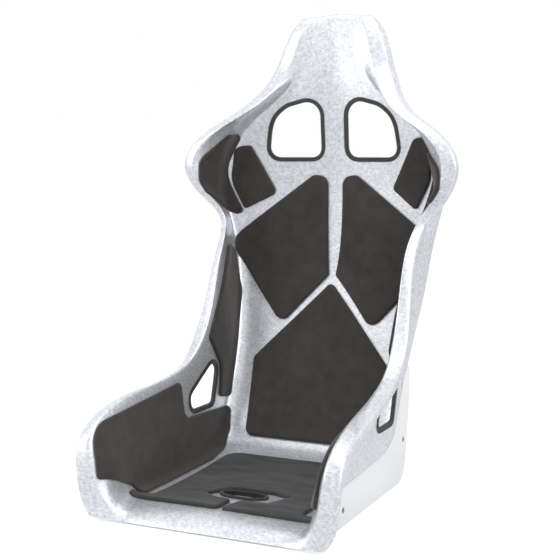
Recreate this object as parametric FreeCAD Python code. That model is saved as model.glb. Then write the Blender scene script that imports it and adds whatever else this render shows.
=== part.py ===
import FreeCAD, Part
import math
import os

Vector = FreeCAD.Vector
Point = FreeCAD.Base.Vector2d
Geom2d = Part.Geom2d

# A fixed racing bucket seat: a moulded glass fibre shell with glued foam pads.
# Millimetres. X runs across the seat, Y backwards, Z up from the floor.
# The origin lies on the floor, on the middle plane, under the front lip.

# Overall sizes
seat_height = 944.0
shoulder_width = 600.0
shoulder_height = 630.0
waist_width = 444.0
waist_height = 455.0
thigh_width = 514.0
thigh_height = 200.0
head_width = 224.0
bucket_width = 392.0
pan_height = 27.0
back_depth = 590.0
skin = 4.0

# Rim: the turned-out flange round the bucket and its turned-back lip
rim_lip = 13.0
rim_curl = 8.0
head_lip = 24.0
head_curl = 17.0

# Size of the bends between the back of the bucket, or its pan, and the side walls
corner_turn = 50.0
pan_turn = 68.0

# Belt openings: how high and how far back their middles lie
shoulder_belt_height = 704.0
lap_belt_back = 368.0
lap_belt_height = 190.0
crotch_belt_back = 156.0

# Edge trim of the openings: a soft channel pushed over the edge of the shell
trim_grip = 7.0
trim_web = 2.5
trim_wall = 2.2
trim_play = 0.2
crotch_trim_grip = 4.5
crotch_trim_rise = 5.0

# Foam pads under velour covers, glued into the shell
pad_thickness = 7.0
pad_edge = 2.0
glue_gap = 0.3

# Runners: the boxed-in feet of the side walls, a flat outer laminate that carries the
# mounting threads and a core behind it
runner_inset = 48.0
runner_front = 108.0
runner_flat_end = 425.0
runner_rear = 504.0
runner_shoulder = 160.0

# Threaded inserts for M8 side mounting bolts: tapping size, body and places
thread_radius = 3.4
bush_radius = 6.0
bush_length = 5.5
bush_play = 0.05
front_bolt = (146.0, 30.0)
rear_bolt = (466.0, 85.0)


def smooth(keys, at):
    """Value at a station from (station, value) keys, with no overshoot between them."""
    stations = [key[0] for key in keys]
    values = [key[1] for key in keys]
    if at <= stations[0]:
        return values[0]
    if at >= stations[-1]:
        return values[-1]
    slopes = []
    for i in range(len(keys) - 1):
        slopes.append((values[i + 1] - values[i]) / (stations[i + 1] - stations[i]))
    ends = [slopes[0]]
    for before, after in zip(slopes[:-1], slopes[1:]):
        if before * after <= 0:
            ends.append(0.0)
        else:
            ends.append(2 * before * after / (before + after))
    ends.append(slopes[-1])
    i = max(k for k in range(len(keys) - 1) if stations[k] <= at)
    width = stations[i + 1] - stations[i]
    s = (at - stations[i]) / width
    start = values[i] * (1 + 2 * s) * (1 - s) ** 2 + ends[i] * width * s * (1 - s) ** 2
    end = values[i + 1] * s * s * (3 - 2 * s) + ends[i + 1] * width * s * s * (s - 1)
    return start + end


def rail(keys):
    """A smooth curve through (station, x, y, z) keys, read by station."""
    curve = Part.BSplineCurve()
    points = [Vector(*key[1:]) for key in keys]
    curve.interpolate(Points=points, Parameters=[float(key[0]) for key in keys])
    return curve


# Stations count along the seat: 0 is the front lip, 8 the bend of pan and back,
# 13 the waist, 17 the shoulders, 28 the rolled top edge of the head.
last_station = 28
waist = waist_width / 2
shoulder = shoulder_width / 2
thigh = thigh_width / 2
head = head_width / 2

# Middle line of the inner face, in the plane of symmetry
middle_line = rail([
    (0, 0, -4, 3.5),
    (1, 0, 15, pan_height - 7),
    (2, 0, 58, pan_height),
    (3, 0, 130, pan_height),
    (4, 0, 210, pan_height),
    (5, 0, 290, pan_height + 3),
    (6, 0, 360, pan_height + 8),
    (7, 0, 411, pan_height + 22),
    (8, 0, 441, 77),
    (9, 0, 466, 125),
    (10, 0, back_depth - 89, thigh_height),
    (11, 0, back_depth - 53, waist_height - 175),
    (12, 0, back_depth - 22, waist_height - 99),
    (13, 0, back_depth - 2, waist_height - 25),
    (14, 0, back_depth + 6, shoulder_height - 130),
    (15, 0, back_depth + 8, shoulder_height - 70),
    (16, 0, back_depth + 7, shoulder_height - 26),
    (17, 0, back_depth + 4, shoulder_height + 10),
    (18, 0, back_depth, shoulder_height + 45),
    (19, 0, back_depth - 4, shoulder_height + 85),
    (20, 0, back_depth - 8, shoulder_height + 125),
    (21, 0, back_depth - 11, seat_height - 149),
    (22, 0, back_depth - 13, seat_height - 109),
    (23, 0, back_depth - 13, seat_height - 74),
    (24, 0, back_depth - 11, seat_height - 44),
    (25, 0, back_depth - 7, seat_height - 19),
    (26, 0, back_depth, seat_height - 3),
    (27, 0, back_depth + 13, seat_height),
    (28, 0, back_depth + 24, seat_height - 7),
])

# Outermost line of the rim
rim_line = rail([
    (0, thigh - 30, -10, 7),
    (1, thigh - 10, -10, 38),
    (2, thigh - 2, -12, 88),
    (3, thigh, -4, 138),
    (4, thigh, 40, thigh_height - 27),
    (5, thigh - 4, 120, thigh_height - 6),
    (6, thigh - 14, 205, thigh_height + 1),
    (7, waist + 11, 282, thigh_height + 11),
    (8, waist + 10, 342, thigh_height + 33),
    (9, waist + 11, 384, thigh_height + 75),
    (10, waist + 6, 415, waist_height - 125),
    (11, waist + 1, 438, waist_height - 60),
    (12, waist - 1, 466, waist_height),
    (13, waist + 4, 500, waist_height + 49),
    (14, shoulder - 51, 504, shoulder_height - 90),
    (15, shoulder - 21, 487, shoulder_height - 58),
    (16, shoulder - 3, 474, shoulder_height - 25),
    (17, shoulder, 471, shoulder_height + 4),
    (18, shoulder - 13, 472, shoulder_height + 35),
    (19, shoulder - 45, 478, shoulder_height + 66),
    (20, shoulder - 88, 489, shoulder_height + 94),
    (21, shoulder - 128, 516, shoulder_height + 127),
    (22, head + 31, back_depth - 37, seat_height - 143),
    (23, head + 12, back_depth - 20, seat_height - 96),
    (24, head, back_depth - 13, seat_height - 58),
    (25, head - 15, back_depth - 6, seat_height - 27),
    (26, head - 30, back_depth, seat_height - 10),
    (27, head - 39, back_depth + 11, seat_height - 7),
    (28, head - 42, back_depth + 22, seat_height - 12),
])

# Half width of the floor of the bucket, where its side walls start
wall = bucket_width / 2
foot_half_width = [
    (0, 150), (1, 172), (2, wall - 6), (3, wall), (10, wall), (11, wall + 8),
    (12, wall + 18), (13, wall + 27), (14, wall + 40), (15, shoulder - 50), (16, shoulder - 54),
    (17, shoulder - 60), (18, shoulder - 73), (19, shoulder - 98), (20, shoulder - 136),
    (21, shoulder - 178), (22, head - 32), (23, head - 54), (24, head - 62), (25, head - 66), (28, head - 70),
]
# How far that line stands forward of the middle line, and how far it follows the rim up the back
foot_forward = [(0, 0), (10, 0), (11, 3), (12, 9), (13, 20), (14, 30), (15, 34), (18, 30), (20, 22),
                (22, 9), (23, 5), (25, 2), (28, 0)]
foot_follow = [(0, 0), (18, 0), (22, 0.7), (28, 0.8)]
# Half width at the top of the side walls, where they turn out into the rim
crest_half_width = [
    (0, wall + 8), (1, wall + 18), (2, wall + 28), (4, wall + 30), (5, wall + 26), (6, wall + 18),
    (7, wall + 10), (9, wall + 5),
    (12, wall + 3), (13, waist - 14), (14, shoulder - 72), (15, shoulder - 47), (16, shoulder - 30),
    (17, shoulder - 28), (18, shoulder - 42), (19, shoulder - 74), (20, shoulder - 118),
    (21, shoulder - 160), (22, head - 4), (23, head - 23), (24, head - 34), (25, head - 44),
    (26, head - 50), (28, head - 54),
]
# Height of the crest over the rim line, and its direction: degrees forward of upright
crest_rise = [(0, 0.5), (2, 4), (4, 12), (6, 15), (8, 14), (12, 12), (17, 9), (19, 10), (22, 8), (24, 9),
              (26, 4), (28, 0)]
crest_lean = [(0, 80), (1, 68), (2, 52), (4, 49), (6, 43), (8, 32), (9, 29), (10, 33), (12, 44),
              (13, 50), (15, 80), (17, 92), (22, 95), (26, 80), (28, 20)]
# Share of the side wall that starts square to the floor before it leans to the crest
wall_upright = [(0, 0), (1, 0.1), (3, 1), (19, 1), (20, 0.6), (22, 0), (28, 0)]
turn_size = [(0, corner_turn), (2, corner_turn), (3, pan_turn), (5, pan_turn), (8, corner_turn)]
# Width of the turned-back lip, and size of the bend before it
lip_width = [(0, 2), (1, 7), (2, rim_lip), (19, rim_lip), (22, head_lip), (25, head_lip), (27, 5), (28, 2)]
curl_size = [(0, rim_curl), (19, rim_curl), (22, head_curl), (28, head_curl)]


def toward(start, end, distance):
    """The point a distance from start on the way to end."""
    step = end - start
    return start + step * (distance / step.Length)


def section(at):
    """Control points of one half section, from the middle line out to the rim lip."""
    middle = middle_line.value(at)
    edge = rim_line.value(at)
    along = middle_line.tangent(at)[0]
    forward = Vector(0, -along.z, along.y)
    foot = middle + forward * smooth(foot_forward, at)
    foot.z += (edge.z - middle.z) * smooth(foot_follow, at)
    foot.x = smooth(foot_half_width, at)
    lean = math.radians(smooth(crest_lean, at))
    up = Vector(0, -math.sin(lean), math.cos(lean))
    crest = edge + up * smooth(crest_rise, at)
    crest.x = smooth(crest_half_width, at)
    upright = Vector(crest.x + (foot.x - crest.x) * smooth(wall_upright, at), crest.y, crest.z)
    floor_length = (foot - middle).Length
    wall_length = (upright - foot).Length
    turn = min(smooth(turn_size, at), 0.42 * floor_length, 0.42 * wall_length)
    shoulder_point = toward(foot, upright, turn + 0.3 * (wall_length - turn))
    roll = 0.45 * (crest - shoulder_point).Length
    lip = smooth(lip_width, at)
    curl = min(smooth(curl_size, at), 0.65 * lip)
    points = [middle]
    points.append(toward(middle, foot, 0.35 * floor_length))
    points.append(toward(middle, foot, 0.68 * floor_length))
    points.append(toward(foot, middle, turn))
    points.append(foot)
    points.append(toward(foot, upright, turn))
    points.append(shoulder_point)
    points.append(toward(crest, shoulder_point, roll))
    points.append(crest)
    points.append((crest + toward(edge, crest, curl)) * 0.5)
    points.append(toward(edge, crest, curl))
    points.append(edge)
    points.append(edge - up * curl)
    points.append(edge - up * lip)
    return points


def knots(count):
    """Even clamped cubic knots and multiplicities for a number of control points."""
    inner = count - 3
    values = [i / inner for i in range(inner + 1)]
    repeats = [4] + [1] * (inner - 1) + [4]
    return values, repeats


def greville(count):
    """Parameter that belongs to each control point."""
    values, repeats = knots(count)
    flat = []
    for value, repeat in zip(values, repeats):
        flat += [value] * repeat
    return [sum(flat[i + 1:i + 4]) / 3 for i in range(count)]


def surface_from(rows):
    u_knots, u_repeats = knots(len(rows))
    v_knots, v_repeats = knots(len(rows[0]))
    surface = Part.BSplineSurface()
    surface.buildFromPolesMultsKnots(rows, u_repeats, v_repeats, u_knots, v_knots, False, False, 3, 3)
    return surface


rows_per_station = 2
base_rows = []
for step in range(last_station * rows_per_station + 1):
    half = section(step / rows_per_station)
    mirrored = [Vector(-p.x, p.y, p.z) for p in reversed(half[1:])]
    base_rows.append(mirrored + half)

inner_face = surface_from(base_rows)
normals = []
for u in greville(len(base_rows)):
    normals.append([inner_face.normal(u, v) for v in greville(len(base_rows[0]))])
middle_column = len(base_rows[0]) // 2
if normals[len(normals) // 5][middle_column].z < 0:
    normals = [[normal * -1 for normal in row] for row in normals]


def layer(distance):
    """The surface a distance in front of the inner face; negative is behind it."""
    rows = []
    for row, directions in zip(base_rows, normals):
        rows.append([p + n * distance for p, n in zip(row, directions)])
    return surface_from(rows)


kept_layers = {}


def surface_at(distance):
    if distance not in kept_layers:
        kept_layers[distance] = layer(distance)
    return kept_layers[distance]


def loop_on(distance, segments):
    """Edges on a layer, one for each run of parameter points."""
    surface = surface_at(distance)
    edges = []
    for segment in segments:
        if len(segment) == 2:
            curve = Geom2d.Line2dSegment(segment[0], segment[1])
        else:
            curve = Geom2d.BSplineCurve2d()
            curve.interpolate(segment)
        edges.append(curve.toShape(surface))
    return edges


def ring_on(distance, runs):
    """Smooth edges in space through the points of runs on a layer."""
    surface = surface_at(distance)
    edges = []
    for run in runs:
        curve = Part.BSplineCurve()
        curve.interpolate([surface.value(p.x, p.y) for p in run])
        edges.append(curve.toShape())
    return edges


def closed_solid(faces):
    shell = Part.Shell(faces)
    shell.sewShape()
    solid = Part.Solid(shell)
    if solid.Volume < 0:
        solid.reverse()
    return solid


# Directions from which pads and openings are laid out on the shell: each holds the
# direction of the first coordinate of an outline and that of the second
plan = (Vector(1, 0, 0), Vector(0, 1, 0))
front = (Vector(1, 0, 0), Vector(0, 0, 1))
side = (Vector(0, 1, 0), Vector(0, 0, 1))
quarter = (Vector(0.866, -0.5, 0), Vector(0, 0, 1))
wing = (Vector(0.5, -0.866, 0), Vector(0, 0, 1))
rear_quarter = (Vector(-0.342, 0.94, 0), Vector(0, 0, 1))
hollow = (Vector(-0.342, 0.94, 0), Vector(0.574, 0, 0.819))

# Outlines: a direction, an anchor and corners from it as (first, second, corner radius).
# Those of the openings follow the outer edge of the trim.
shoulder_opening = (front, (0, shoulder_belt_height), [
    (21, -69, 30), (157, -69, 30), (141, 45, 75), (22, 77, 38)])
lap_opening = (side, (lap_belt_back, lap_belt_height), [
    (-64, -62, 26), (38, -63, 18), (75, 68, 25), (-64, -18, 26)])
crotch_opening = (plan, (0, crotch_belt_back), [
    (60, 0, 13), (28, 22, 45), (-28, 22, 45), (-60, 0, 13), (-28, -22, 45), (28, -22, 45)])

upper_back_outline = (quarter, (-back_depth / 2, waist_height), [
    (13, 176, 22), (13, -60, 12), (114, -166, 16), (220, 10, 34)])
lower_back_outline = (front, (0, pan_height), [
    (0, 353, 10), (-152, 191, 14), (-137, 39, 18), (137, 39, 18), (152, 191, 14)])
# The wing pads were cut and glued by hand, so those of the two sides differ.
wing_outer_outline_left = (wing, (-back_depth / 2, shoulder_height), [
    (-86, 64, 9), (-62, -9, 60), (-101, -119, 9), (4, -62, 24), (18, -36, 30), (18, 10, 34),
    (-36, 62, 26)])
wing_outer_outline_right = (wing, (-back_depth / 2, shoulder_height), [
    (-72, 24, 10), (-80, -20, 60), (-103, -121, 8), (4, -70, 24), (20, -40, 30), (20, -8, 34),
    (-24, 26, 18)])
wing_inner_outline_left = (front, (0, shoulder_height), [
    (187, 40, 8), (130, -62, 12), (204, -98, 7), (236, -38, 60), (222, 38, 30)])
wing_inner_outline_right = (front, (0, shoulder_height), [
    (184, 56, 17), (134, -50, 10), (187, -93, 6), (217, -36, 60), (227, 54, 24)])
side_bolster_outline = (rear_quarter, (back_depth / 2, waist_height), [
    (4, -180, 12), (104, 8, 18), (149, -9, 16), (155, -100, 60), (78, -318, 12),
    (39, -312, 12), (43, -244, 24)])
thigh_outline = (hollow, (0, thigh_height), [
    (22, -80, 12), (262, -80, 60), (318, -70, 50), (351, -39, 30), (371, 8, 12),
    (195, 18, 20), (191, 83, 12), (-77, 68, 36), (-77, -17, 10), (7, -53, 14)])
base_outline = (plan, (0, 0), [
    (1, 65, 2), (189, 60, 4), (190, 72, 4), (149, 86, 9), (146, 375, 34),
    (-146, 375, 34), (-149, 86, 9), (-190, 72, 4), (-189, 60, 4), (-7, 65, 14),
    (-5, 112, 5), (-44, 118, 30), (-66, 134, 4), (-40, 180, 40),
    (45, 184, 60), (88, 170, 3), (66, 118, 4), (16, 116, 5)])

# Places on the right half of the inner face, within the rim, where a search may start
search_rows = 56
search_columns = 18
crest_parameter = greville(len(base_rows[0]))[middle_column + 8]
starts = []
for i in range(search_rows + 1):
    for j in range(search_columns + 1):
        start_u = i / search_rows
        start_v = 0.5 + (crest_parameter - 0.5) * j / search_columns
        starts.append((start_u, start_v, inner_face.value(start_u, start_v)))

nudge = 0.00001
newton_rounds = 8
furthest_column = 0.86


def nearest_start(view, first, second):
    def miss(start):
        return math.hypot(view[0].dot(start[2]) - first, view[1].dot(start[2]) - second)

    return min(starts, key=miss)[:2]


def place(view, first, second, start):
    """Parameters of the point of the inner face that a view shows at two coordinates."""
    u, v = start
    for turn in range(newton_rounds):
        here = inner_face.value(u, v)
        along = (inner_face.value(u + nudge, v) - here) * (1 / nudge)
        over = (inner_face.value(u, v + nudge) - here) * (1 / nudge)
        miss_first = first - view[0].dot(here)
        miss_second = second - view[1].dot(here)
        a, b = view[0].dot(along), view[0].dot(over)
        c, d = view[1].dot(along), view[1].dot(over)
        scale = a * d - b * c
        u += (miss_first * d - miss_second * b) / scale
        v += (miss_second * a - miss_first * c) / scale
        u = min(max(u, 0.001), 0.999)
        v = min(max(v, 1 - furthest_column), furthest_column)
    return u, v


run_step = 18.0
corner_steps = 4


def rounded(corners, inset):
    """Runs of points round a polygon with rounded corners, drawn in by an inset."""
    count = len(corners)
    points = [Vector(c[0], c[1], 0) for c in corners]
    upward = Vector(0, 0, 1)
    area = sum(points[i - 1].cross(points[i]).z for i in range(count))
    order = 1 if area > 0 else -1
    bends = []
    for i in range(count):
        before = toward(points[i - 1], points[i], 1) - points[i - 1]
        after = toward(points[i], points[(i + 1) % count], 1) - points[i]
        turn = math.atan2(before.cross(after).z, before.dot(after))
        inward = upward.cross(before + after) * (order / (1 + before.dot(after)))
        radius = corners[i][2] + (inset if turn * order < 0 else -inset)
        bends.append((points[i] + inward * inset, before, turn, max(radius, 1.0)))
    arcs = []
    for i in range(count):
        corner, before, turn, radius = bends[i]
        room = min((corner - bends[i - 1][0]).Length, (bends[(i + 1) % count][0] - corner).Length)
        reach = min(radius * abs(math.tan(turn / 2)), 0.47 * room)
        radius = reach / abs(math.tan(turn / 2))
        first = corner - before * reach
        outward = upward.cross(before) * (-radius if turn > 0 else radius)
        sideways = before * radius
        arc = []
        for step in range(corner_steps + 1):
            angle = abs(turn) * step / corner_steps
            spoke = outward * math.cos(angle) + sideways * math.sin(angle)
            arc.append(first - outward + spoke)
        arcs.append(arc)
    runs = []
    for i in range(count):
        runs.append(arcs[i])
        start, end = arcs[i][-1], arcs[(i + 1) % count][0]
        steps = 1 + int((points[(i + 1) % count] - points[i]).Length / run_step)
        runs.append([start + (end - start) * (k / steps) for k in range(steps + 1)])
    return runs


def loop(outline, inset):
    """An outline, drawn in by an inset, as runs of parameters on the shell's right half."""
    view, anchor, corners = outline
    placed = [(anchor[0] + c[0], anchor[1] + c[1], c[2]) for c in corners]
    runs = rounded(placed, inset)
    here = nearest_start(view, runs[0][0].x, runs[0][0].y)
    found = []
    for run in runs:
        part_run = []
        for point in run:
            here = place(view, point.x, point.y, here)
            part_run.append(Point(*here))
        if found:
            part_run[0] = found[-1][-1]
        found.append(part_run)
    found[-1][-1] = found[0][0]
    return found


def other_side(runs):
    """The same runs on the left half of the shell."""
    return [[Point(p.x, 1 - p.y) for p in run] for run in runs]


def pad(base, top):
    """A foam pad from its outline at the shell and the drawn-in outline of its face."""
    layers = [(glue_gap, base), (pad_thickness - pad_edge, base), (pad_thickness, top)]
    loops = [loop_on(distance, runs) for distance, runs in layers]
    faces = []
    for i in (0, 2):
        face = Part.Face(surface_at(layers[i][0]), Part.Wire(loops[i]))
        face.validate()
        faces.append(face)
    for low, high in zip(loops[:-1], loops[1:]):
        for a, b in zip(low, high):
            faces.append(Part.makeRuledSurface(a, b, 1))
    return closed_solid(faces)


def trim_profile(grip, rise):
    """Section of an edge trim: how far in from the outline, and how far from the inner face."""
    outside = -skin
    lead = 1.2
    return [
        (0, trim_play),
        (0, rise - lead + trim_play),
        (lead, rise + trim_play),
        (grip + trim_web - lead, rise + trim_play),
        (grip + trim_web, rise - lead + trim_play),
        (grip + trim_web, outside - trim_wall + lead - trim_play),
        (grip + trim_web - lead, outside - trim_wall - trim_play),
        (lead, outside - trim_wall - trim_play),
        (0, outside - trim_wall + lead - trim_play),
        (0, outside - trim_play),
        (grip + trim_play, outside - trim_play),
        (grip + trim_play, trim_play),
    ]


def trim(outline, grip, rise, side_of):
    """A closed ring of edge trim round an opening, rising from the inner face."""
    rings = []
    known = {}
    for inset, distance in trim_profile(grip, rise):
        if inset not in known:
            known[inset] = side_of(loop(outline, inset))
        rings.append(ring_on(distance, known[inset]))
    faces = []
    for i in range(len(rings)):
        for a, b in zip(rings[i - 1], rings[i]):
            faces.append(Part.makeRuledSurface(a, b, 1))
    return closed_solid(faces)


sheet_edge = [
    [Point(0, 0), Point(1, 0)],
    [Point(1, 0), Point(1, 1)],
    [Point(1, 1), Point(0, 1)],
    [Point(0, 1), Point(0, 0)],
]


def moulding(near, far, holes):
    """The whole sheet between two layers, with holes through it."""
    faces = []
    borders = []
    for distance in (near, far):
        border = loop_on(distance, sheet_edge)
        face = Part.Face(surface_at(distance), Part.Wire(border))
        cuts = [loop_on(distance, hole) for hole in holes]
        if cuts:
            face.cutHoles([Part.Wire(cut) for cut in cuts])
        face.validate()
        faces.append(face)
        borders.append([border] + cuts)
    for near_loop, far_loop in zip(*borders):
        for a, b in zip(near_loop, far_loop):
            faces.append(Part.makeRuledSurface(a, b, 1))
    return closed_solid(faces)



def same(runs):
    return runs


# Runner: lies against the outer face of the shell between two lines along it and is
# closed by flat sides down to a profile of (back, up) points
runner_split = 7.2
runner_stations = [2.85, runner_split, 9.9]
runner_profile_rear = [
    (runner_flat_end, 0), (runner_flat_end + 22, 0), (runner_flat_end + 40, 9),
    (runner_flat_end + 55, 32), (runner_flat_end + 60, 62), (runner_flat_end + 66, 95),
    (runner_rear, runner_shoulder)]
runner_end_inner = (522.0, 200.0)
runner_end_outer = (503.0, 224.0)
runner_end_draw = 0.016
runner_trim = 1.0
runner_over = 0.012


def line(start, end):
    return Part.LineSegment(start, end).toShape()


def profile_edges(x, end):
    """Lower and rear edge of the runner at one distance across the seat, up to its upper end."""
    flat = line(Vector(x, runner_front, 0), Vector(x, runner_flat_end, 0))
    poles = [Vector(x, y, z) for y, z in runner_profile_rear] + [end]
    inner = len(poles) - 3
    curve = Part.BSplineCurve()
    curve.buildFromPolesMultsKnots(poles, [4] + [1] * (inner - 1) + [4], list(range(inner + 1)), False, 3)
    return [flat, curve.toShape()]


def runner():
    """The whole foot of the right side, a little wider than its outer flat face."""
    columns = greville(len(base_rows[0]))
    inner_v = columns[middle_column + 3]
    outer_v = columns[middle_column + 5] + runner_over
    end_v = outer_v - runner_end_draw
    contact = -skin - glue_gap
    u = [station / last_station for station in runner_stations]
    upper_outer = loop_on(contact, [[Point(u[0], outer_v), Point(u[1], outer_v)],
                                    [Point(u[1], outer_v), Point(u[2], end_v)]])
    upper_inner = loop_on(contact, [[Point(u[0], inner_v), Point(u[1], inner_v)],
                                    [Point(u[1], inner_v), Point(u[2], inner_v)]])
    across = loop_on(contact, [[Point(u[0], inner_v), Point(u[0], outer_v)],
                               [Point(u[2], inner_v), Point(u[2], end_v)]])
    end_outer = Vector(across[1].Vertexes[1].X, *runner_end_outer)
    end_inner = Vector(across[1].Vertexes[0].X, *runner_end_inner)
    lower_outer = profile_edges(wall + skin + runner_trim, end_outer)
    lower_inner = profile_edges(wall + skin - runner_inset, end_inner)
    ends = []
    for i, k in ((0, 0), (1, -1)):
        ends.append(line(lower_inner[i].Vertexes[k].Point, lower_outer[i].Vertexes[k].Point))
    top = Part.Face(surface_at(contact), Part.Wire(
        [across[0], upper_outer[0], upper_outer[1], across[1], upper_inner[1], upper_inner[0]]))
    top.validate()
    faces = [top]
    for i in (0, 1):
        faces.append(Part.makeRuledSurface(upper_outer[i], lower_outer[i], 1))
        faces.append(Part.makeRuledSurface(upper_inner[i], lower_inner[i], 1))
        faces.append(Part.makeRuledSurface(across[i], ends[i], 1))
    sole = [lower_outer[0], line(lower_outer[0].Vertexes[1].Point, lower_inner[0].Vertexes[1].Point),
            lower_inner[0], ends[0]]
    faces.append(Part.Face(Part.Wire(Part.sortEdges(sole)[0])))
    faces.append(Part.makeRuledSurface(lower_outer[1], lower_inner[1], 1))
    return closed_solid(faces)


def slab(solid, near, far):
    """The part of a solid between two distances from the middle plane."""
    box = solid.BoundBox
    size = (far - near, box.YLength + 20, box.ZLength + 20)
    corner = Vector(near, box.YMin - 10, box.ZMin - 10)
    return solid.common(Part.makeBox(*size, corner)).Solids[0]


def laminate(whole):
    """The flat outer laminate of a foot, bored for the threaded inserts."""
    outer = wall + skin
    plate = slab(whole, outer - bush_length, outer)
    for bolt in (front_bolt, rear_bolt):
        plate = plate.cut(bolt_cylinder(bolt, bush_radius + bush_play, bush_length + 1, 1))
    return plate.Solids[0]


def bolt_cylinder(bolt, radius, length, overrun):
    """A cylinder that goes in from the outer side of the right runner."""
    outer = wall + skin + overrun
    return Part.makeCylinder(radius, length + overrun, Vector(outer, *bolt), Vector(-1, 0, 0))


def bush(bolt):
    body = bolt_cylinder(bolt, bush_radius, bush_length, 0)
    return body.cut(bolt_cylinder(bolt, thread_radius, bush_length + 1, 1)).Solids[0]


pieces = {}
right_holes = [loop(shoulder_opening, trim_grip), loop(lap_opening, trim_grip)]
left_holes = [other_side(runs) for runs in right_holes]
crotch_hole = loop(crotch_opening, crotch_trim_grip)
pieces["shell"] = moulding(0.0, -skin, right_holes + left_holes + [crotch_hole])

for end, side_of in (("right", same), ("left", other_side)):
    pieces["shoulder_belt_trim_" + end] = trim(shoulder_opening, trim_grip, trim_wall, side_of)
    pieces["lap_belt_trim_" + end] = trim(lap_opening, trim_grip, trim_wall, side_of)
pieces["crotch_belt_trim"] = trim(crotch_opening, crotch_trim_grip, crotch_trim_rise, same)

pads = [
    ("upper_back_pad_right", upper_back_outline, same),
    ("upper_back_pad_left", upper_back_outline, other_side),
    ("wing_pad_outer_right", wing_outer_outline_right, same),
    ("wing_pad_outer_left", wing_outer_outline_left, other_side),
    ("wing_pad_inner_right", wing_inner_outline_right, same),
    ("wing_pad_inner_left", wing_inner_outline_left, other_side),
    ("side_bolster_pad_right", side_bolster_outline, same),
    ("side_bolster_pad_left", side_bolster_outline, other_side),
    ("thigh_pad_right", thigh_outline, same),
    ("thigh_pad_left", thigh_outline, other_side),
    ("lower_back_pad", lower_back_outline, same),
    ("base_pad", base_outline, same),
]
for name, outline, side_of in pads:
    pieces[name] = pad(side_of(loop(outline, 0)), side_of(loop(outline, pad_edge)))

foot = runner()
pieces["side_runner_right"] = laminate(foot)
pieces["runner_core_right"] = slab(foot, 0, wall + skin - bush_length - glue_gap)
pieces["mount_bush_front_right"] = bush(front_bolt)
pieces["mount_bush_rear_right"] = bush(rear_bolt)
for name in ("side_runner", "runner_core", "mount_bush_front", "mount_bush_rear"):
    pieces[name + "_left"] = pieces[name + "_right"].mirror(Vector(0, 0, 0), Vector(1, 0, 0))

# The frame's origin lies on the floor under the middle of the seat's length
shell_box = pieces["shell"].BoundBox
to_middle = Vector(0, -(shell_box.YMin + shell_box.YMax) / 2, 0)
os.makedirs("parts", exist_ok=True)
for name, solid in pieces.items():
    solid.translate(to_middle)
    solid.exportStep("parts/" + name + ".step")
    box = solid.BoundBox
    print(name, solid.ShapeType, solid.isValid(), solid.isClosed(), round(solid.Volume / 1000, 2),
          [round(value, 1) for value in (box.XMin, box.YMin, box.ZMin, box.XMax, box.YMax, box.ZMax)])
print("moved back by", to_middle.y)
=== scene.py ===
import math
import bmesh
import bpy
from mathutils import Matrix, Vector, kdtree, noise


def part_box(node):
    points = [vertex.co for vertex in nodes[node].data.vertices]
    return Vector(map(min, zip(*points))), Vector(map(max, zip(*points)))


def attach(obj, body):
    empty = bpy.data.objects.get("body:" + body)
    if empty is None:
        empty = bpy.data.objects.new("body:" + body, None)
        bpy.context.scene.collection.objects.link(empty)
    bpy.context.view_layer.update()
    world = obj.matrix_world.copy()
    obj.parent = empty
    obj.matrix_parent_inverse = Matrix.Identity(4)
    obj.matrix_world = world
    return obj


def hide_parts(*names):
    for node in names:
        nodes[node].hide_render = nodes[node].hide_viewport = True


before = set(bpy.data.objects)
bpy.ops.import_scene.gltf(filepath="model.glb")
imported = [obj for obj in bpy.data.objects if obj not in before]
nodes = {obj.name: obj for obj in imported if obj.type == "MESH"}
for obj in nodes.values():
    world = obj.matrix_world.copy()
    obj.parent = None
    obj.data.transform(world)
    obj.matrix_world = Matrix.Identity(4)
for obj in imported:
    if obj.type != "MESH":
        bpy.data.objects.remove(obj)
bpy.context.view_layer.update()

scene = bpy.context.scene

# Standpoint: the seat is seen from its front, 25 degrees round to the viewer's right and
# from a little above its middle. Metres and degrees, in the seat's own frame.
eye = Vector((0.94244, -2.00807, 0.66))
turn_about_seat = 25.0
look_down = 6.36
lens_length = 75.0
film_width = 36.0
farthest_seen = 100.0

camera = bpy.data.objects.new("camera", bpy.data.cameras.new("camera"))
camera.location = eye
camera.rotation_euler = (math.radians(90 - look_down), 0, math.radians(turn_about_seat))
camera.data.lens = lens_length
camera.data.sensor_width = film_width
camera.data.clip_end = farthest_seen
scene.collection.objects.link(camera)
scene.camera = camera
scene.view_settings.view_transform = "Standard"


# Floor of the studio: a wide pale sheet that runs to the horizon. To the camera it is as
# white as the backdrop, and it darkens only where the seat stands and shades it. Its finish,
# and those of the seat below, are written as formulas of the values of shader nodes.
class Value:
    """A shader output that can be used in plain sums, so a recipe reads as a formula."""

    def __init__(self, finish, socket):
        self.finish = finish
        self.socket = socket

    def __add__(self, other):
        return self.finish.math("ADD", self, other)

    def __radd__(self, other):
        return self.finish.math("ADD", other, self)

    def __sub__(self, other):
        return self.finish.math("SUBTRACT", self, other)

    def __rsub__(self, other):
        return self.finish.math("SUBTRACT", other, self)

    def __mul__(self, other):
        return self.finish.math("MULTIPLY", self, other)

    def __rmul__(self, other):
        return self.finish.math("MULTIPLY", other, self)


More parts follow.
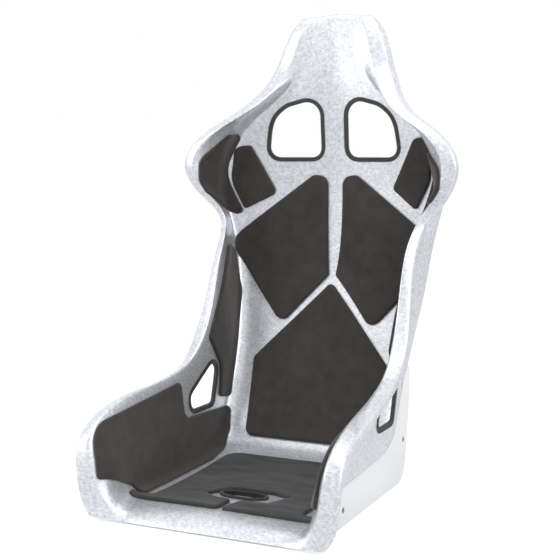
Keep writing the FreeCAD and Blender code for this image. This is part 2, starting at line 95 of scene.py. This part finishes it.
class Finish:
    """One surface finish: a principled shader and the nodes that vary it."""

    def __init__(self, name):
        self.material = bpy.data.materials.new(name)
        self.material.use_nodes = True
        self.tree = self.material.node_tree
        self.shader = self.tree.nodes["Principled BSDF"]

    def fill(self, socket, value):
        if isinstance(value, Value):
            self.tree.links.new(value.socket, socket)
        else:
            socket.default_value = value

    def node(self, kind, settings, inputs, output=0):
        """A node of a kind, with its settings, its inputs by name or number, and one output."""
        made = self.tree.nodes.new(kind)
        for key, value in settings.items():
            setattr(made, key, value)
        for key, value in inputs.items():
            self.fill(made.inputs[key], value)
        return Value(self, made.outputs[output])

    def math(self, operation, first, second):
        return self.node("ShaderNodeMath", {"operation": operation}, {0: first, 1: second})

    def clamped(self, value):
        return self.node("ShaderNodeClamp", {}, {0: value})

    def mixed(self, factor, first, second):
        """A colour between two colours."""
        return self.node(
            "ShaderNodeMix", {"data_type": "RGBA"},
            {0: factor, 6: (*first, 1), 7: (*second, 1)}, 2)

    def place(self, turn=None, scale=None):
        """The point on the piece, in metres, or turned and stretched for a pattern with a lie."""
        here = self.node("ShaderNodeTexCoord", {}, {}, "Object")
        if turn is None:
            return here
        return self.node("ShaderNodeMapping", {}, {"Vector": here, "Rotation": turn, "Scale": scale})

    def noise(self, scale, detail, roughness=0.5, place=None):
        return self.node("ShaderNodeTexNoise", {}, {
            "Vector": place or self.place(), "Scale": scale, "Detail": detail, "Roughness": roughness})

    def set(self, **inputs):
        """Fill sockets of the shader, with _ for the spaces in their names."""
        for key, value in inputs.items():
            self.fill(self.shader.inputs[key.replace("_", " ")], value)

    def bump(self, height, strength, distance):
        relief = self.node("ShaderNodeBump", {}, {
            "Strength": strength, "Distance": distance, "Height": height})
        self.set(Normal=relief)

    def put_on(self, piece):
        piece.data.materials.clear()
        piece.data.materials.append(self.material)


floor_half_width = 30.0
floor_paint = (0.82, 0.82, 0.82, 1)
floor_glow = (0.46, 0.46, 0.46)
no_glow = (0, 0, 0)

bpy.ops.object.select_all(action="DESELECT")
bpy.ops.mesh.primitive_plane_add(size=2 * floor_half_width)
studio_floor = bpy.context.object
studio_floor.name = "studio_floor"
floor_finish = Finish("studio_floor")
seen_by_camera = floor_finish.node("ShaderNodeLightPath", {}, {}, "Is Camera Ray")
glow = floor_finish.mixed(seen_by_camera, no_glow, floor_glow)
floor_finish.set(Base_Color=floor_paint, Roughness=0.9, Specular_IOR_Level=0.0)
floor_finish.set(Emission_Color=glow, Emission_Strength=1.0)
floor_finish.put_on(studio_floor)


# Studio light: one large soft box on each side, one overhead, and an even bright room.
# The camera, and what shines on the shell, see the room as plain white.
def soft_box(name, place, aim, width, height, watts):
    lamp = bpy.data.lights.new(name, "AREA")
    lamp.shape = "RECTANGLE"
    lamp.size = width
    lamp.size_y = height
    lamp.energy = watts
    holder = bpy.data.objects.new(name, lamp)
    holder.location = place
    direction = Vector(aim) - Vector(place)
    holder.rotation_euler = direction.to_track_quat("-Z", "Y").to_euler()
    scene.collection.objects.link(holder)


soft_box("soft_box_left", place=(-2.4, -1.8, 1.5), aim=(0, 0, 0.45), width=1.4, height=2.2, watts=30)
soft_box("soft_box_right", place=(2.6, -0.9, 1.6), aim=(0, 0, 0.45), width=1.4, height=2.2, watts=26)
soft_box("soft_box_top", place=(0.2, -0.3, 3.0), aim=(0, 0.1, 0.4), width=2.0, height=1.6, watts=26)

room_light = 0.70
room_white = 1.0

room = bpy.data.worlds.new("room")
room.use_nodes = True
scene.world = room
room_nodes = room.node_tree.nodes
room_links = room.node_tree.links
room_air = room_nodes["Background"]
room_seen = room_nodes.new("ShaderNodeBackground")
for light, strength in ((room_air, room_light), (room_seen, room_white)):
    light.inputs["Color"].default_value = (1, 1, 1, 1)
    light.inputs["Strength"].default_value = strength
room_path = room_nodes.new("ShaderNodeLightPath")
seen_or_mirrored = room_nodes.new("ShaderNodeMath")
seen_or_mirrored.operation = "MAXIMUM"
room_mix = room_nodes.new("ShaderNodeMixShader")
room_links.new(room_path.outputs["Is Camera Ray"], seen_or_mirrored.inputs[0])
room_links.new(room_path.outputs["Is Glossy Ray"], seen_or_mirrored.inputs[1])
room_links.new(seen_or_mirrored.outputs[0], room_mix.inputs[0])
room_links.new(room_air.outputs[0], room_mix.inputs[1])
room_links.new(room_seen.outputs[0], room_mix.inputs[2])
room_links.new(room_mix.outputs[0], room_nodes["World Output"].inputs["Surface"])

# Shell: one moulding of glass fibre in a clear gel coat full of fine silver flakes.
# The chopped fibres under it lie crosswise and show as faint pale and grey strands.
gel_dark = (0.49, 0.51, 0.57)
gel_pale = (0.88, 0.90, 0.94)
strand_scale = (110.0, 240.0, 240.0)
crossed_share = 0.25
matted_share = 0.5
strand_contrast = 4.2
flakes_per_metre = 1100.0

gel_coat = Finish("silver_gel_coat")
along = gel_coat.place(turn=(0.4, 0.9, 0.5), scale=strand_scale)
across = gel_coat.place(turn=(-0.5, -0.7, 0.9), scale=strand_scale)
crossed = gel_coat.noise(1.0, 5.0, 0.68, along) + gel_coat.noise(1.0, 5.0, 0.68, across)
matted = gel_coat.noise(150.0, 5.0, 0.72)
strands = crossed * crossed_share + matted * matted_share
clouds = gel_coat.noise(11.0, 3.0, 0.55)
flakes = gel_coat.node("ShaderNodeTexVoronoi", {"feature": "F1"}, {
    "Vector": gel_coat.place(), "Scale": flakes_per_metre}, "Color")
flake_light = gel_coat.node("ShaderNodeSeparateColor", {}, {0: flakes}, 0)
gel_tone = gel_coat.clamped(
    (strands - 0.5) * strand_contrast + (clouds - 0.5) * 0.5 + (flake_light - 0.5) * 0.5 + 0.5)
gel_coat.set(Base_Color=gel_coat.mixed(gel_tone, gel_dark, gel_pale), Metallic=0.55)
gel_coat.set(Roughness=0.34 + (flake_light - 0.5) * 0.10, Coat_Weight=0.6, Coat_Roughness=0.10)
gel_coat.bump(strands, strength=0.12, distance=0.0005)
gel_coat.put_on(nodes["shell"])

# Runners: the boxed-in lower sides of the shell, laid up smooth over a core so that the
# seat can be bolted between two flat brackets.
runner_dark = (0.83, 0.84, 0.87)
runner_pale = (0.91, 0.92, 0.94)

runner_coat = Finish("smooth_gel_coat")
runner_cloud = runner_coat.noise(14.0, 3.0)
runner_coat.set(Base_Color=runner_coat.mixed(runner_cloud, runner_dark, runner_pale))
runner_coat.set(Metallic=0.2, Roughness=0.35, Coat_Weight=0.5, Coat_Roughness=0.15)
for side in ("left", "right"):
    runner_coat.put_on(nodes["side_runner_" + side])
    runner_coat.put_on(nodes["runner_core_" + side])

# Threaded inserts: zinc plated steel, set flush in the runners for the side bolts.
# The plating has a fine grain that dulls it here and there.
zinc_dark = (0.42, 0.42, 0.41)
zinc_pale = (0.62, 0.61, 0.58)

zinc = Finish("zinc_plated_steel")
zinc_grain = zinc.noise(900.0, 3.0)
zinc.set(Base_Color=zinc.mixed(zinc_grain, zinc_dark, zinc_pale))
zinc.set(Metallic=1.0, Roughness=0.3 + zinc_grain * 0.2)
for end in ("front", "rear"):
    for side in ("left", "right"):
        zinc.put_on(nodes["mount_bush_" + end + "_" + side])

# Edge trim: a soft black channel with fine cross ribs, pushed over the edges of the
# belt openings. It is bent round each opening from one straight length, and grips the
# shell for its depth on both faces, over which it rises a little.
rubber_dark = (0.016, 0.016, 0.014)
rubber_dusty = (0.070, 0.070, 0.062)
# Painted shade: near black, on the faces that lead down into each groove and line its bottom.
groove_painted_shade = (0.004, 0.004, 0.003, 1)

trim_rubber = Finish("trim_rubber")
trim_dust = trim_rubber.noise(320.0, 4.0)
trim_rubber.set(Base_Color=trim_rubber.mixed(trim_dust, rubber_dark, rubber_dusty))
trim_rubber.set(Roughness=0.42 + trim_dust * 0.2)
# A second finish for the groove faces only: painted shade, darker and less glossy than the rubber.
trim_groove_painted_shade = Finish("trim_groove_painted_shade")
trim_groove_painted_shade.set(Base_Color=groove_painted_shade, Roughness=0.8, Specular_IOR_Level=0.2)

rib_pitch = 0.0037
rib_depth = 0.0009
steps_per_rib = 4
low_steps = (2, 3)
# The steps whose faces carry the painted groove shade.
steps_with_painted_groove_shade = (1, 2)
trim_web = 0.0025
trim_wall = 0.0022
trim_clear = 0.0003
trim_round = 0.0009
corner_rounds = 24
bend_reach = 2
sharp_edge = math.radians(50)
shell_weld = 0.00002
seat_middle = Vector((0.0, -0.05, 0.45))
# For each kind of opening, the depth of the grip and the rise over the shell's inner face.
trim_sections = {"lap": (0.0070, 0.0022), "shoulder": (0.0070, 0.0022), "crotch": (0.0045, 0.0050)}


def edge_rings(mesh, low, high):
    """Closed chains of the sharp edges of a sheet that lie within a box."""
    links = {}
    for edge in mesh.edges:
        if len(edge.link_faces) != 2 or edge.calc_face_angle() < sharp_edge:
            continue
        middle = (edge.verts[0].co + edge.verts[1].co) / 2
        if all(low[i] < middle[i] < high[i] for i in range(3)):
            for here, there in (edge.verts, reversed(edge.verts)):
                links.setdefault(here, []).append(there)
    rings = []
    while links:
        ring = [next(iter(links))]
        while True:
            onward = [v for v in links.pop(ring[-1]) if v in links]
            if not onward:
                break
            ring.append(onward[0])
        rings.append([v.co.copy() for v in ring])
    return rings


def evenly(ring, count):
    """Points at equal distances round a closed chain."""
    closed = ring + [ring[0]]
    steps = [(b - a).length for a, b in zip(closed[:-1], closed[1:])]
    pitch = sum(steps) / count
    points = []
    passed, i = 0.0, 0
    for k in range(count):
        while passed + steps[i] < k * pitch:
            passed += steps[i]
            i += 1
        points.append(closed[i].lerp(closed[i + 1], (k * pitch - passed) / steps[i]))
    return points


def eased(points, rounds):
    """The same closed chain with its small corners smoothed out."""
    for turn in range(rounds):
        points = [(points[i - 1] + points[i] * 2 + points[(i + 1) % len(points)]) / 4
                  for i in range(len(points))]
    return points


def edges_of_opening(name):
    """Pairs of points round an opening: on the shell's inner face, and across its wall."""
    low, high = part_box(name)
    rings = edge_rings(shell_sheet, low, high)
    rings.sort(key=len, reverse=True)
    ribs = round(sum((a - b).length for a, b in zip(rings[0], rings[0][1:])) / rib_pitch)
    count = ribs * steps_per_rib
    first = eased(evenly(rings[0], count), corner_rounds)
    second = eased(evenly(rings[1], count), corner_rounds)
    across_wall = kdtree.KDTree(count)
    for i, point in enumerate(second):
        across_wall.insert(point, i)
    across_wall.balance()
    pairs = [(point, across_wall.find(point)[0]) for point in first]
    first_is_inner = sum((a - seat_middle).length - (b - seat_middle).length for a, b in pairs) < 0
    return pairs if first_is_inner else [(b, a) for a, b in pairs]


def channel_outline(cut, grip, rise, thickness):
    """Corners of the channel: sideways from the cut edge, and height over the inner face.

    They run from the lip of the inner leg round the outside to that of the outer leg,
    and back through the groove that holds the shell.
    """
    top = rise - cut
    bottom = -thickness - trim_wall + cut
    far = grip - cut
    near = -trim_web + cut
    return [
        (far, trim_clear), (far, top - trim_round), (far - trim_round, top),
        (near + trim_round, top), (near, top - trim_round),
        (near, bottom + trim_round), (near + trim_round, bottom),
        (far - trim_round, bottom), (far, bottom + trim_round), (far, -thickness - trim_clear),
        (-trim_clear, -thickness - trim_clear), (-trim_clear, trim_clear)]


def edge_trim(name, grip, rise):
    """The ribbed channel of one opening, swept round its edge."""
    pairs = edges_of_opening(name)
    count = len(pairs)
    centre = sum((inner for inner, outer in pairs), Vector()) / count
    mesh = bmesh.new()
    loops = []
    for i, (inner, outer) in enumerate(pairs):
        ahead = pairs[(i + bend_reach) % count][0] - pairs[i - bend_reach][0]
        through = (inner - outer).normalized()
        sheet = ahead.cross(through).normalized()
        if sheet.dot(inner - centre) < 0:
            sheet = -sheet
        upright = sheet.cross(ahead).normalized()
        if upright.dot(through) <= 0:
            upright = -upright
        cut = rib_depth if i % steps_per_rib in low_steps else 0.0
        outline = channel_outline(cut, grip, rise, thickness=(inner - outer).dot(upright))
        loops.append([mesh.verts.new(inner + sheet * a + upright * b) for a, b in outline])
    for i, (before, after) in enumerate(zip(loops, loops[1:] + loops[:1])):
        # Faces down into the groove and along its bottom get the painted shade finish.
        in_painted_groove_shade = i % steps_per_rib in steps_with_painted_groove_shade
        for k in range(len(before)):
            n = (k + 1) % len(before)
            wall = mesh.faces.new((before[k], before[n], after[n], after[k]))
            wall.material_index = 1 if in_painted_groove_shade else 0
    bmesh.ops.recalc_face_normals(mesh, faces=mesh.faces)
    data = bpy.data.meshes.new("ribbed_" + name)
    mesh.to_mesh(data)
    mesh.free()
    piece = bpy.data.objects.new("ribbed_" + name, data)
    scene.collection.objects.link(piece)
    trim_rubber.put_on(piece)
    data.materials.append(trim_groove_painted_shade.material)
    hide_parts(name)
    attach(piece, "root")


shell_sheet = bmesh.new()
shell_sheet.from_mesh(nodes["shell"].data)
bmesh.ops.remove_doubles(shell_sheet, verts=shell_sheet.verts, dist=shell_weld)
for opening, (grip, rise) in trim_sections.items():
    ends = ("",) if opening == "crotch" else ("_left", "_right")
    for end in ends:
        edge_trim(opening + "_belt_trim" + end, grip, rise)
shell_sheet.free()

# Pads: flat fire-retardant foam in a dark velour cover, cut to the lines of the body and
# glued into the shell. The cover is drawn tight round the edges of the foam. The base pad
# has a smoother, thinner cover that lies in faint folds across the seat, and its colour
# follows the folds as painted shade in their hollows and painted highlight on their crests.
velour_dark = (0.030, 0.0275, 0.026)
velour_brushed = (0.064, 0.059, 0.056)
velour_sheen = (0.8, 0.76, 0.74, 1)

velour = Finish("dark_velour")
pile = velour.noise(2600.0, 2.0)
brushed = velour.noise(38.0, 5.0, 0.6)
worn = velour.noise(7.0, 3.0)
velour_tone = velour.clamped((brushed - 0.5) * 1.2 + (worn - 0.5) * 0.9 + (pile - 0.5) * 0.5 + 0.5)
velour.set(Base_Color=velour.mixed(velour_tone, velour_dark, velour_brushed), Roughness=0.95)
velour.set(Sheen_Weight=0.35, Sheen_Roughness=0.5, Sheen_Tint=velour_sheen, Specular_IOR_Level=0.15)
velour.bump(pile * 0.4 + brushed * 0.6, strength=0.35, distance=0.0012)

# The cloth's own dark colour, with painted fold shade at one end and painted fold highlight at the
# other.
cloth_in_painted_fold_shade = (0.025, 0.025, 0.026)
cloth_in_painted_fold_highlight = (0.060, 0.060, 0.061)

base_cloth = Finish("smooth_dark_cloth")
cloth_weave = base_cloth.noise(2200.0, 2.0)
cloth_lie = base_cloth.place(turn=(0.0, 0.0, 0.35), scale=(9.0, 38.0, 9.0))
folds_for_relief_and_painted_shade = base_cloth.noise(1.0, 3.0, 0.55, cloth_lie)
# Painted shade and painted highlight: the cloth is darker where the folds sink and paler where they
# rise.
painted_fold_shade_and_highlight = base_cloth.clamped((folds_for_relief_and_painted_shade - 0.5) * 2.5 + 0.5)
base_cloth.set(Base_Color=base_cloth.mixed(painted_fold_shade_and_highlight, cloth_in_painted_fold_shade, cloth_in_painted_fold_highlight), Roughness=0.75)
base_cloth.set(Specular_IOR_Level=0.25, Sheen_Weight=0.2)
base_cloth.bump(folds_for_relief_and_painted_shade + cloth_weave * 0.04, strength=0.5, distance=0.004)

# How full each pad is, from slack to tight. Only the pad names are read below; the fill is not
# applied.
tight = 0.9
pad_fills = {"lower_back_pad": tight, "base_pad": 0.85}
for side in ("left", "right"):
    for pad in ("upper_back_pad", "wing_pad_outer", "wing_pad_inner", "side_bolster_pad", "thigh_pad"):
        pad_fills[pad + "_" + side] = tight

cover_mesh = 0.006
cover_rounds = 6
cover_weld = 0.00001
fold_angle = math.radians(24)
most_swell = 0.0010
swell_reach = 0.012
folds_per_metre = (16, 42, 30)
fold_slant = 9
base_fold = 0.0022
plain_fold = 0.0003

cover_weight = 0.3
air_in_cover = 4.0
tension_frames = 20
steps_a_frame = 4
least_move = 0.000001


def drawn_tight(piece, glued, limits):
    """Let the cover take up tension over its foam, as far as its limit at each point."""
    start = [vertex.co.copy() for vertex in piece.data.vertices]
    held = piece.vertex_groups.new(name="glued")
    held.add(glued, 1.0, "REPLACE")
    tension = piece.modifiers.new("tension", "CLOTH")
    tension.settings.quality = steps_a_frame
    tension.settings.mass = cover_weight
    tension.settings.use_pressure = True
    tension.settings.uniform_pressure_force = air_in_cover
    tension.settings.vertex_group_mass = held.name
    tension.settings.effector_weights.gravity = 0.0
    tension.point_cache.frame_start = 1
    tension.point_cache.frame_end = tension_frames
    for frame_number in range(1, tension_frames + 1):
        scene.frame_set(frame_number)
    bpy.ops.object.modifier_apply(modifier=tension.name)
    scene.frame_set(1)
    for vertex, before, limit in zip(piece.data.vertices, start, limits):
        move = vertex.co - before
        vertex.co = before + move * min(1.0, limit / max(move.length, least_move))


def fine_copy(name):
    """The mesh of a pad's solid, merged and with its long edges divided."""
    cover = bmesh.new()
    cover.from_mesh(nodes[name].data)
    bmesh.ops.remove_doubles(cover, verts=cover.verts, dist=cover_weld)
    for turn in range(cover_rounds):
        wide = [e for e in cover.edges if e.calc_length() > cover_mesh]
        bmesh.ops.subdivide_edges(cover, edges=wide, cuts=1)
        bmesh.ops.triangulate(cover, faces=[f for f in cover.faces if len(f.verts) > 3])
    cover.normal_update()
    return cover


def soft_pad(name, finish, fold_height):
    """A piece that takes a pad's outline and gets the roundness of foam under a cover."""
    cover = fine_copy(name)
    rim = [v for v in cover.verts
           if any(len(e.link_faces) == 2 and e.calc_face_angle() > fold_angle for e in v.link_edges)]
    rim_points = kdtree.KDTree(len(rim))
    for i, vertex in enumerate(rim):
        rim_points.insert(vertex.co, i)
    rim_points.balance()
    moves = []
    glued = []
    limits = []
    for i, vertex in enumerate(cover.verts):
        x, y, z = vertex.co
        inward = rim_points.find(vertex.co)[2]
        crown = 1 - math.exp(-inward / swell_reach)
        limits.append(crown * most_swell)
        folds = noise.noise(Vector((
            x * folds_per_metre[0] + z * fold_slant, y * folds_per_metre[1], z * folds_per_metre[2])))
        if vertex.normal.dot(seat_middle - vertex.co) < 0:
            glued.append(i)
        else:
            moves.append((vertex, vertex.normal * crown * folds * fold_height))
    for vertex, move in moves:
        vertex.co += move
    data = bpy.data.meshes.new("cover_of_" + name)
    cover.to_mesh(data)
    cover.free()
    piece = bpy.data.objects.new("cover_of_" + name, data)
    scene.collection.objects.link(piece)
    bpy.ops.object.select_all(action="DESELECT")
    piece.select_set(True)
    bpy.context.view_layer.objects.active = piece
    drawn_tight(piece, glued, limits)
    bpy.ops.object.shade_smooth_by_angle(angle=fold_angle)
    finish.put_on(piece)
    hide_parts(name)
    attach(piece, "root")


for name, fill in pad_fills.items():
    if name == "base_pad":
        soft_pad(name, base_cloth, base_fold)
    else:
        soft_pad(name, velour, plain_fold)
